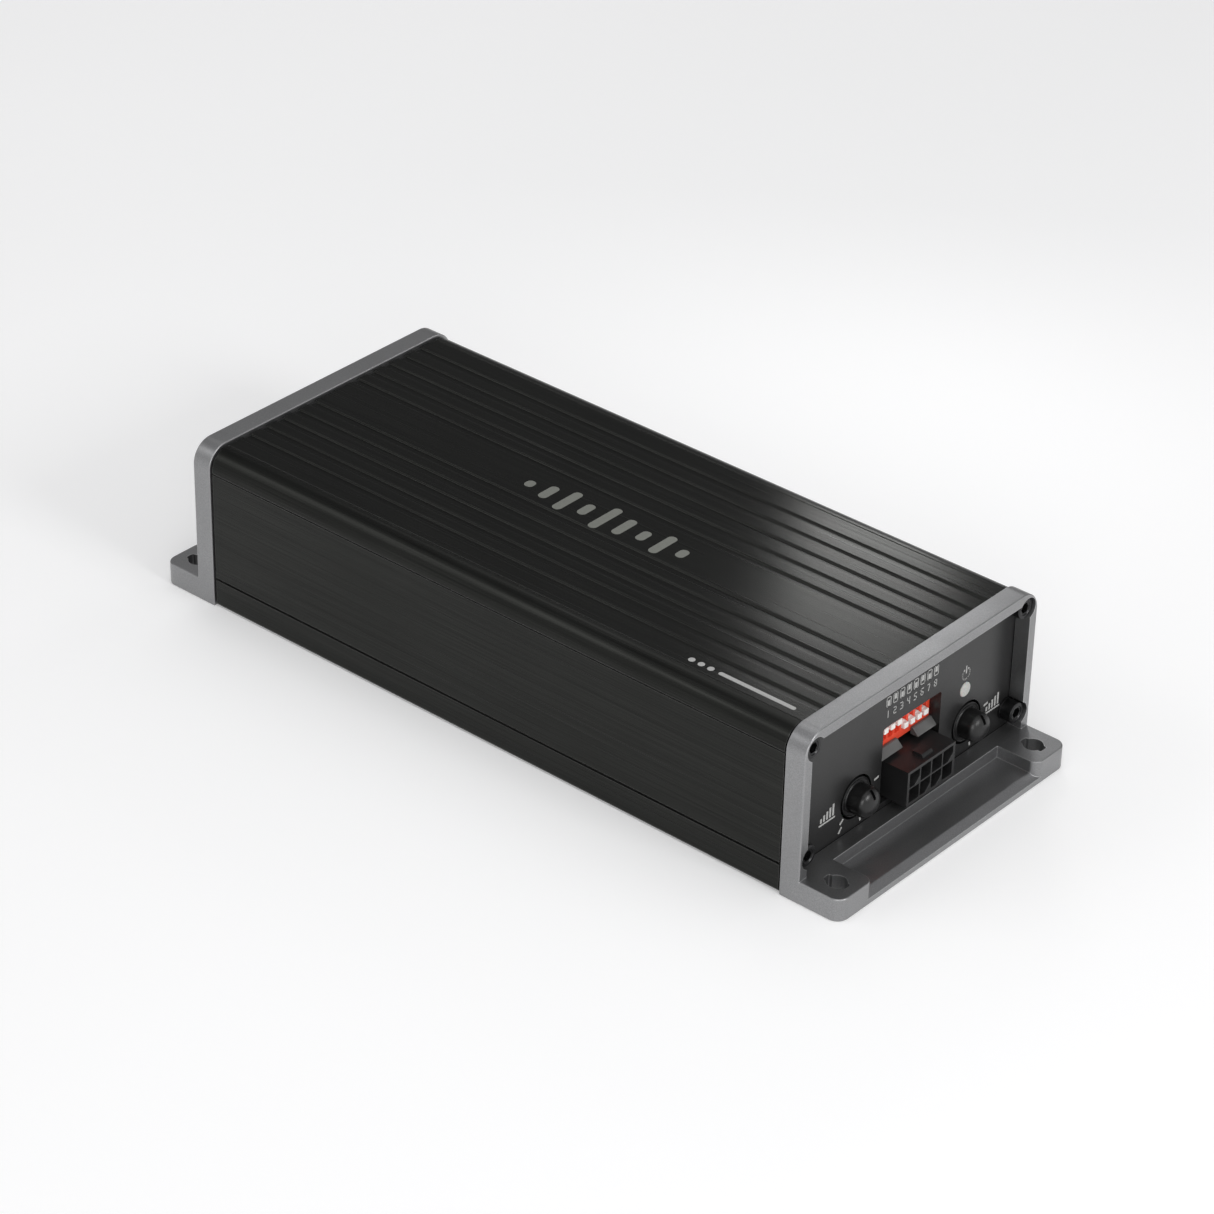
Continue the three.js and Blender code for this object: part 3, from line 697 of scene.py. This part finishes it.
def ends():
    for end, finish in (("front", lambda piece: piece), ("rear", other_end)):
        cap = finish(end_cap())
        finished(cap, f"{end}_cap", LOOKS["cast_satin"], "chassis", [f"{end}_end_cap"])
        for n, screw in enumerate(SCREWS, 1):
            made = finish(cap_screw(screw))
            name = f"{end}_cap_screw_{n}"
            finished(made, name, LOOKS["screw_black"], "chassis", [f"{end}_screw_{n}"])


# ---------------------------------------------------------------- panels
def panel(windows, holes):
    """The plate behind a cap's opening, with a frame behind each window and round holes (y, z, radius)."""
    face = PANEL.x1
    low, high = PANEL_HEIGHTS
    outline = rounded(-PANEL_HALF_WIDTH, low, PANEL_HALF_WIDTH, high, 0.8, 4)
    plate = prism(outline, face - PANEL_THICKNESS, face)
    frames = []
    for y0, z0, y1, z1 in windows:
        corner = (PANEL.x0, y0 - SHROUD_WALL, z0 - 0.6)
        frames.append(block(corner, (face - 0.5, y1 + SHROUD_WALL, z1 + SHROUD_WALL)))
    plate = joined(plate, *frames)
    cutters = [prism(rounded(*window, 0.3, 0.7, 4), PANEL.x0 - 1, face + 1) for window in windows]
    cutters += [prism(circle(y, z, radius, 64), PANEL.x0 - 1, face + 1) for y, z, radius in holes]
    for screw in SCREWS:
        cutters.append(prism(circle(screw.y, screw.z, PANEL_SCREW_HOLE, 24), PANEL.x0 - 1, face + 1))
    return cut(plate, *cutters)


def ledge(y0, y1):
    """One of the two sloped ledges that part the switches from the header below."""
    back = PANEL.x0 + 0.01
    section = [(back, 18.5), (back + 2.25, 18.5), (back + 2.25, 18.8), (back + 0.65, 20.4), (back, 20.4)]
    return prism(section, y0, y1, "Y")


def front_panel():
    y0, y1 = WINDOW_SIDES
    holes = [(knob.y, knob.z, (knob.y1 - knob.y0) / 2 + KNOB_GAP) for knob in KNOBS]
    holes.append((LIGHT.y, LIGHT.z, LIGHT_HOLE_RADIUS))
    made = panel([(y0, WINDOW_BOTTOM, y1, WINDOW_TOP)], holes)
    ledges = gathered([rolled(ledge(y0, LATCH_GAP[0]), 0.1, 2), rolled(ledge(LATCH_GAP[1], y1), 0.1, 2)])
    # The ledges' light grey is a painted highlight.
    finished(ledges, "switch_ledges", LOOKS["ledge_painted_lit_grey"], "chassis")
    finished(made, "control_panel", LOOKS["panel_black"], "chassis", ["front_panel"], 15)


def rear_panel():
    power, fuse = -Extent("power_header").y, -Extent("fuse_holder").y
    windows = [
        (-OUTPUT_HALF_WINDOW, WINDOW_BOTTOM, OUTPUT_HALF_WINDOW, REAR_WINDOW_TOP),
        (power - POWER_HALF_WINDOW, WINDOW_BOTTOM, power + POWER_HALF_WINDOW, REAR_WINDOW_TOP),
        (fuse - FUSE_HALF_WINDOW, WINDOW_BOTTOM, fuse + FUSE_HALF_WINDOW, FUSE_WINDOW_TOP),
    ]
    made = other_end(panel(windows, []))
    finished(made, "connection_panel", LOOKS["panel_black"], "chassis", ["rear_panel"], 15)


# ---------------------------------------------------------------- headers
def header(extent, columns, rows, pitch, cell):
    """A shrouded pin header with keyed cells and a latch ridge. It faces +X."""
    centre, z0 = extent.y, extent.z0
    width = columns * pitch + 2 * HEADER_RIM
    height = rows * pitch + 2 * HEADER_RIM
    shell = block((extent.x0, centre - width / 2, z0), (extent.x1, centre + width / 2, z0 + height))
    ramp = [
        (extent.x1 - 4.4, z0 + height - 0.2),
        (extent.x1 - 1.2, z0 + height - 0.2),
        (extent.x1 - 1.2, z0 + height + 0.35),
        (extent.x1 - 1.8, z0 + height + 0.8),
        (extent.x1 - 4.4, z0 + height + 0.8),
    ]
    shell = joined(shell, prism(ramp, centre - 1.9, centre + 1.9, "Y"))
    hollows = []
    half = cell / 2
    for column in range(columns):
        for row in range(rows):
            y = centre + (column - (columns - 1) / 2) * pitch
            z = z0 + height / 2 + (row - (rows - 1) / 2) * pitch
            keyed = (column % 3 == 0) == (row == rows - 1)
            slant = half * 0.9 if keyed else 0.2
            outline = [
                (y - half, z + half),
                (y - half, z - half),
                (y + half - slant, z - half),
                (y + half, z - half + slant),
                (y + half, z + half),
            ]
            hollows.append(prism(outline, extent.x0 + 4.2, extent.x1 + 1))
    return rolled(cut(shell, *hollows), 0.1, 2)


def pins(extent, columns, rows, pitch, half):
    """A header's pins with tapered tips."""
    made = []
    for column in range(columns):
        for row in range(rows):
            y = extent.y + (column - (columns - 1) / 2) * pitch
            z = extent.z + (row - (rows - 1) / 2) * pitch
            square = circle(0, 0, half * 2**0.5, 4)
            turn = [((u - v) / 2**0.5 + y, (u + v) / 2**0.5 + z) for u, v in square]
            tip = [((u - y) * 0.45 + y, (v - z) * 0.45 + z) for u, v in turn]
            bm = bmesh.new()
            rings = []
            for x, outline in ((extent.x0 + 0.7, turn), (extent.x1 - 0.9, turn), (extent.x1, tip)):
                rings.append([bm.verts.new((x, u, v)) for u, v in outline])
            bm.faces.new(rings[0])
            bm.faces.new(rings[-1])
            for ring, other in zip(rings, rings[1:]):
                for i in range(4):
                    bm.faces.new((ring[i], ring[(i + 1) % 4], other[(i + 1) % 4], other[i]))
            made.append(solid(bm))
    return gathered(made)


def turned_back(extent):
    """A rear extent as it is before its half turn about Z."""
    extent.x0, extent.x1 = -extent.x1, -extent.x0
    extent.y0, extent.y1 = -extent.y1, -extent.y0
    extent.x, extent.y = -extent.x, -extent.y
    return extent


def headers():
    """The three plug headers with their pins: input at the control end, output and power at the far end."""
    kinds = [
        ("input", lambda e: e, lambda p: p, 4, 2, CELL_PITCH, CELL_SIZE, 0.5),
        ("output", turned_back, other_end, 5, 2, CELL_PITCH, CELL_SIZE, 0.5),
        ("power", turned_back, other_end, 2, 1, POWER_PITCH, POWER_CELL, 1.0),
    ]
    for name, place, finish, columns, rows, pitch, cell, half in kinds:
        shell = place(Extent(f"{name}_header"))
        comb = place(Extent(f"{name}_contacts"))
        housing = finish(header(shell, columns, rows, pitch, cell))
        contacts = finish(pins(comb, columns, rows, pitch, half))
        plastic = LOOKS["black_plastic"]
        finished(housing, f"{name}_plug_header", plastic, "chassis", [f"{name}_header"])
        finished(contacts, f"{name}_pins", LOOKS["tinned"], "chassis", [f"{name}_contacts"])


# ---------------------------------------------------------------- fuse
def fuse():
    """The fuse socket with its finger gap, and the plug-in fuse in it."""
    holder = turned_back(Extent("fuse_holder"))
    blade = turned_back(Extent("blade_fuse"))
    y = holder.y
    body = block((holder.x0, holder.y0, holder.z0), (holder.x1, holder.y1, holder.z1))
    well = block((88, y - 5.6, 9), (holder.x1 + 1, y + 5.6, 13))
    finger_gap = block((holder.x1 - 2.2, y - 2.6, 12), (holder.x1 + 1, y + 2.6, 15))
    body = other_end(rolled(cut(body, well, finger_gap), 0.2, 2))
    finished(body, "fuse_socket", LOOKS["black_plastic"], "chassis", ["fuse_holder"])
    grip = block((88.3, y - 5.3, blade.z0), (blade.x1, y + 5.3, blade.z1))
    waist = [block((90.5, y + s * 4.1 - 0.7, 9), (95.2, y + s * 4.1 + 0.7, 9.75)) for s in (-1, 1)]
    waist += [block((90.5, y + s * 4.1 - 0.7, 12.25), (95.2, y + s * 4.1 + 0.7, 13)) for s in (-1, 1)]
    grip = cut(grip, *waist)
    blades = [block((blade.x0, y + s * 3.8 - 1.3, 10.7), (88.4, y + s * 3.8 + 1.3, 11.3)) for s in (-1, 1)]
    grip = other_end(rolled(joined(grip, *blades), 0.25, 3))
    finished(grip, "plug_in_fuse", LOOKS["fuse_red"], "chassis", ["blade_fuse"])


# ---------------------------------------------------------------- gain controls
def gain_knob(knob):
    """A flanged knob with a domed end and a pointer notch at twelve o'clock."""
    back, flange, neck = knob.x0, (knob.y1 - knob.y0) / 2, KNOB_NECK
    dome = [(back + 4.3 + 2.4 * sin(t * pi / 24), neck * cos(t * pi / 24)) for t in range(12)]
    profile = [
        (back, 0),
        (back, flange),
        (back + 1.0, flange),
        (back + 1.15, flange - 0.05),
        (back + 1.22, flange - 0.18),
        (back + 1.16, flange - 0.32),
        (back + 1.0, flange - 0.42),
        (back + 0.95, neck + 0.2),
        (back + 1.2, neck),
        *dome,
        (back + KNOB_LENGTH, 0),
    ]
    body = turned(profile, knob.y, knob.z, 96)
    bore = prism(circle(knob.y, knob.z, KNOB_BORE), back - 1, back + 4.4)
    left, right = knob.y - NOTCH_HALF_WIDTH, knob.y + NOTCH_HALF_WIDTH
    notch = block((back + 4.9, left, knob.z + 1.6), (back + 8, right, knob.z + 5))
    return cut(body, bore, notch)


def gain_controls():
    for n, knob in enumerate(KNOBS, 1):
        dial = gain_knob(knob)
        finished(dial, f"gain_dial_{n}", LOOKS["knob_black"], f"gain_{n}", [f"gain_knob_{n}"])


# ---------------------------------------------------------------- mode switches and light
def mode_switches():
    """The switch bank with a slot for each slider, and the eight sliders, each on its own body."""
    reach = DIP_TRAVEL / 2 + 0.95
    sliders = [Extent(f"dip_slider_{n}") for n in range(1, DIP_COUNT + 1)]
    middle = (min(s.z for s in sliders) + max(s.z for s in sliders)) / 2
    body = block((SWITCH.x0, SWITCH.y0, SWITCH.z0), (SWITCH.x1, SWITCH.y1, SWITCH.z1))
    slots = []
    for slider in sliders:
        left, right = slider.y - SLOT_HALF_WIDTH, slider.y + SLOT_HALF_WIDTH
        slot = rounded(left, middle - reach, right, middle + reach, 0.15, steps=3)
        slots.append(prism(slot, SWITCH.x1 - 1.6, SWITCH.x1 + 1))
    body = rolled(cut(body, *slots), 0.12, 2)
    finished(body, "switch_bank", LOOKS["switch_red"], "chassis", ["dip_switch_body"])
    for n, slider in enumerate(sliders, 1):
        foot = block((slider.x0, slider.y0, slider.z0), (SWITCH.x1 - 0.25, slider.y1, slider.z1))
        nub = block((SWITCH.x1 - 0.4, slider.y0, slider.z0 + 0.1), (slider.x1, slider.y1, slider.z1 - 0.1))
        made = rolled(joined(foot, nub), 0.13, 3)
        white = LOOKS["switch_white"]
        finished(made, f"mode_slider_{n}", white, f"mode_{n}", [f"dip_slider_{n}"])


def power_light():
    """The light pipe: a round rod with a flange behind the panel."""
    face = LIGHT.x1
    flange_back, flange_front = LIGHT_FLANGE
    pipe = turned(
        [
            (LIGHT.x0, 0),
            (LIGHT.x0, LIGHT_RADIUS),
            (flange_back - 0.05, LIGHT_RADIUS),
            (flange_back + 0.05, LIGHT_FLANGE_RADIUS),
            (flange_front, LIGHT_FLANGE_RADIUS),
            (flange_front + 0.05, LIGHT_RADIUS),
            (face - 0.25, LIGHT_RADIUS),
            (face - 0.08, 1.75),
            (face - 0.02, 1.4),
            (face, 0),
        ],
        LIGHT.y,
        LIGHT.z,
        48,
    )
    finished(pipe, "power_lens", LOOKS["frosted_clear"], "chassis", ["light_pipe"])


# ---------------------------------------------------------------- printing
INK = 0.03  # how proud the ink stands

# Numerals as strokes in a box one wide and two high.
NUMERALS = {
    1: [[(0.5, 0), (0.5, 2)]],
    2: [[(0, 2), (1, 2), (1, 1), (0, 1), (0, 0), (1, 0)]],
    3: [[(0, 2), (1, 2), (1, 0), (0, 0)], [(0.3, 1), (1, 1)]],
    4: [[(0, 2), (0, 1), (1, 1)], [(1, 2), (1, 0)]],
    5: [[(1, 2), (0, 2), (0, 1), (1, 1), (1, 0), (0, 0)]],
    6: [[(1, 2), (0, 2), (0, 0), (1, 0), (1, 1), (0, 1)]],
    7: [[(0, 2), (1, 2), (0.4, 0)]],
    8: [[(0, 0), (1, 0), (1, 2), (0, 2), (0, 0)], [(0, 1), (1, 1)]],
}


def stroke(y0, z0, y1, z1, width=0.32):
    """A straight printed line on the panel."""
    along = Vector((y1 - y0, z1 - z0)).normalized() * width / 2
    side = Vector((-along.y, along.x))
    a, b = Vector((y0, z0)), Vector((y1, z1))
    corners = [a - side - along, b - side + along, b + side + along, a + side - along]
    return prism([tuple(c) for c in corners], PANEL.x1 - 0.05, PANEL.x1 + INK)


def numeral(value, y, z, height=1.7):
    """A printed numeral on the panel, its lower left corner at (y, z)."""
    marks = []
    scale = height / 2
    for line in NUMERALS[value]:
        for (u0, v0), (u1, v1) in zip(line, line[1:]):
            marks.append(stroke(y + u0 * scale, z + v0 * scale, y + u1 * scale, z + v1 * scale, 0.26))
    return marks


# Angle in degrees and the two radii of each tick round a gain knob.
GAIN_TICKS = [(222, 6.1, 7.2), (231, 7.9, 9.1), (286, 7.1, 7.6), (10, 7.1, 8.2)]


def gain_marks(knob, side):
    """Ticks round a knob and, beside it, five rising bars over a base line."""
    marks = []
    for angle, inner, outer in GAIN_TICKS:
        y, z = cos(radians(angle)), sin(radians(angle))
        ends = (knob.y + inner * y, knob.z + inner * z, knob.y + outer * y, knob.z + outer * z)
        marks.append(stroke(*ends, 0.55))
    first, base = knob.y + (7.8 if side > 0 else -12.9), 13.6
    marks.append(stroke(first - 0.3, base - 0.6, first + 5.1, base - 0.6, 0.45))
    for n in range(5):
        y = first + 0.2 + n * 1.1
        marks.append(stroke(y, base + 0.3, y, base + 0.9 + 0.5 * n, 0.62))
    return marks


def power_mark(y, z, radius=1.45):
    """A ring open at its top with an upright bar."""
    ring = arc(y, z, radius, 1.35, 4.65, 12)
    marks = [stroke(*a, *b, 0.4) for a, b in zip(ring, ring[1:])]
    return [*marks, stroke(y, z + 0.3, y, z + 2.0, 0.4)]


def switch_marks(y, value):
    """The number of a mode switch and a small picture of its slot and slider."""
    marks = numeral(value, y - 0.45, 31.0)
    low, high = 34.0, 36.5
    corners = [(y - 0.75, low), (y + 0.75, low), (y + 0.75, high), (y - 0.75, high), (y - 0.75, low)]
    marks += [stroke(*a, *b, 0.24) for a, b in zip(corners, corners[1:])]
    knob_low = low + (0.3 if value % 2 else 1.3)
    marks.append(stroke(y, knob_low, y, knob_low + 0.9, 0.85))
    return marks


def front_printing():
    marks = [*gain_marks(KNOBS[0], -1), *gain_marks(KNOBS[1], 1), *power_mark(LIGHT.y, LIGHT.z + 4.3)]
    for n in range(DIP_COUNT):
        marks += switch_marks(SWITCH.y - 0.8 + (n - (DIP_COUNT - 1) / 2) * DIP_PITCH, n + 1)
    finished(gathered(marks), "control_marks", WHITE_INK, "chassis")


# Half widths of the bars of the emblem on the top.
EMBLEM = [1.5, 3.2, 4.9, 2.7, 5.6, 4.0, 2.3, 4.6, 1.9]


def top_printing():
    """A row of bars in the middle of the top, and a line with three dots near the control end."""
    low, high = BODY.z1 - 0.05, BODY.z1 + INK
    bars = []
    for n, half in enumerate(EMBLEM):
        x = -24.5 + n * 6.0
        bars.append(prism(rounded(x, -0.9 - half, x + 2.6, -0.9 + half, 1.2, steps=4), low, high, "Z"))
    finished(gathered(bars), "top_emblem", GREY_INK, "chassis")
    small = [prism(rounded(64, -35.2, 86, -34.0, 0.55, steps=4), low, high, "Z")]
    small += [prism(circle(61.6 - n * 2.8, -34.6, 0.85, 20), low, high, "Z") for n in range(3)]
    finished(gathered(small), "top_line", WHITE_INK, "chassis")


# ---------------------------------------------------------------- inner parts, which keep their CAD shapes
KEPT = {
    "gasket_rubber": ["front_gasket", "rear_gasket"],
    "black_plastic": ["control_board_header"],
    "steel": [
        *[f"gain_{kind}_{n}" for kind in ("shaft", "pot") for n in (1, 2)],
        "heat_spreader_left",
        "heat_spreader_right",
    ],
    "switch_white": ["status_led"],
    "board_green": ["main_board", "control_board"],
    "ferrite": ["transformer_core", *[f"output_inductor_{n}" for n in range(1, 5)]],
    "copper": ["transformer_winding"],
    "sleeve_blue": [f"filter_capacitor_{n}" for n in range(1, 5)],
    "chip_black": ["power_chip", "amplifier_chip"],
    "pad_grey": ["thermal_pad_left", "thermal_pad_right"],
}


def inner_parts():
    for look, nodes in KEPT.items():
        for name in nodes:
            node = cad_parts[name]
            node.data.materials.clear()
            node.data.materials.append(LOOKS[look])


# ---------------------------------------------------------------- studio
CAMERA_PLACE = Vector((0.5478, -0.6434, 0.5462))
CAMERA_AZIMUTH = radians(40.35)
CAMERA_ELEVATION = radians(32.0)
CAMERA_ROLL = radians(-1.229)
CAMERA_LENS = 122.31

SKY_HORIZON = 0.85
SKY_OVERHEAD = (0.45, 0.45, 0.46)
SKY_STRENGTH = (0.9, 0.34)  # towards the control end, and behind the far end
SKY_FALLOFF = (0.1, 0.75)
FAR_END_DIRECTION = (-0.645, 0.764, 0)
FLOOR_GLOW = 0.14


def camera():
    data = bpy.data.cameras.new("camera")
    data.lens = CAMERA_LENS
    data.sensor_width = 36
    data.clip_start = 0.01
    made = bpy.data.objects.new("camera", data)
    flat = cos(CAMERA_ELEVATION)
    back = Vector((sin(CAMERA_AZIMUTH) * flat, -cos(CAMERA_AZIMUTH) * flat, sin(CAMERA_ELEVATION)))
    right = Vector((0, 0, 1)).cross(back).normalized()
    level_up = back.cross(right)
    across = right * cos(CAMERA_ROLL) - level_up * sin(CAMERA_ROLL)
    up = right * sin(CAMERA_ROLL) + level_up * cos(CAMERA_ROLL)
    made.matrix_world = Matrix.Translation(CAMERA_PLACE) @ Matrix((across, up, back)).transposed().to_4x4()
    SCENE.objects.link(made)
    bpy.context.scene.camera = made


def softbox(name, place, target, width, height, power):
    """A rectangular area light at place, aimed at target."""
    data = bpy.data.lights.new(name, "AREA")
    data.shape = "RECTANGLE"
    data.size = width
    data.size_y = height
    data.energy = power
    made = bpy.data.objects.new(name, data)
    made.location = place
    made.rotation_euler = (Vector(place) - Vector(target)).to_track_quat("Z", "Y").to_euler()
    made.visible_camera = False
    SCENE.objects.link(made)


def floor():
    bm = bmesh.new()
    bmesh.ops.create_grid(bm, x_segments=8, y_segments=8, size=4.0)
    mesh = bpy.data.meshes.new("floor")
    bm.to_mesh(mesh)
    bm.free()
    made = bpy.data.objects.new("floor", mesh)
    s = Surface("floor_white", IOR=1.3, Emission_Strength=FLOOR_GLOW)
    cloud = s.noise(400, 2)
    tint = s.blend(s.spread(cloud, 0, 1), (0.90, 0.90, 0.90), (0.93, 0.93, 0.93))
    mesh.materials.append(s.done(tint, s.spread(cloud, 0.85, 0.95)))
    SCENE.objects.link(made)


def sky():
    """Even studio light, darker overhead and behind the far end."""
    world = bpy.data.worlds.new("studio")
    bpy.context.scene.world = world
    world.use_nodes = True
    nodes, links = world.node_tree.nodes, world.node_tree.links
    background = next(n for n in nodes if n.type == "BACKGROUND")
    place = nodes.new("ShaderNodeTexCoord")
    split = nodes.new("ShaderNodeSeparateXYZ")
    ramp = nodes.new("ShaderNodeValToRGB")
    ramp.color_ramp.elements[0].position = 0.0
    ramp.color_ramp.elements[0].color = (SKY_HORIZON, SKY_HORIZON, SKY_HORIZON, 1)
    ramp.color_ramp.elements[1].position = 0.75
    ramp.color_ramp.elements[1].color = (*SKY_OVERHEAD, 1)
    links.new(place.outputs["Generated"], split.inputs["Vector"])
    links.new(split.outputs["Z"], ramp.inputs["Fac"])
    links.new(ramp.outputs["Color"], background.inputs["Color"])
    away = nodes.new("ShaderNodeVectorMath")
    away.operation = "DOT_PRODUCT"
    away.inputs[1].default_value = FAR_END_DIRECTION
    links.new(place.outputs["Generated"], away.inputs[0])
    strength = nodes.new("ShaderNodeMapRange")
    ends = ("From Min", "From Max", "To Min", "To Max")
    for end, value in zip(ends, (*SKY_FALLOFF, *SKY_STRENGTH)):
        strength.inputs[end].default_value = value
    links.new(away.outputs["Value"], strength.inputs["Value"])
    links.new(strength.outputs["Result"], background.inputs["Strength"])


def studio():
    camera()
    floor()
    sky()
    softbox("back_box", (-0.50, 0.60, 1.35), (0, 0, 0.04), 0.9, 0.9, 2.6)
    softbox("accent_box", (-0.055, 0.19, 0.148), (0.05, 0.03, 0.044), 0.045, 0.045, 0.046)
    softbox("front_box", (0.95, -0.05, 0.55), (0.09, 0, 0.02), 0.30, 0.30, 3.2)
    softbox("left_box", (0.75, -0.95, 0.45), (0.09, 0, 0.02), 0.50, 0.50, 3.0)
    softbox("side_box", (-0.62, -0.62, 0.72), (0, 0, 0.03), 0.50, 0.30, 0.8)
    softbox("top_box", (0.2, -0.3, 1.6), (0, 0, 0), 1.4, 1.4, 5)
    bpy.context.scene.view_settings.view_transform = "Standard"


# ---------------------------------------------------------------- the whole scene
studio()
heatsink_body()
ends()
front_panel()
rear_panel()
headers()
fuse()
gain_controls()
mode_switches()
power_light()
front_printing()
top_printing()
inner_parts()
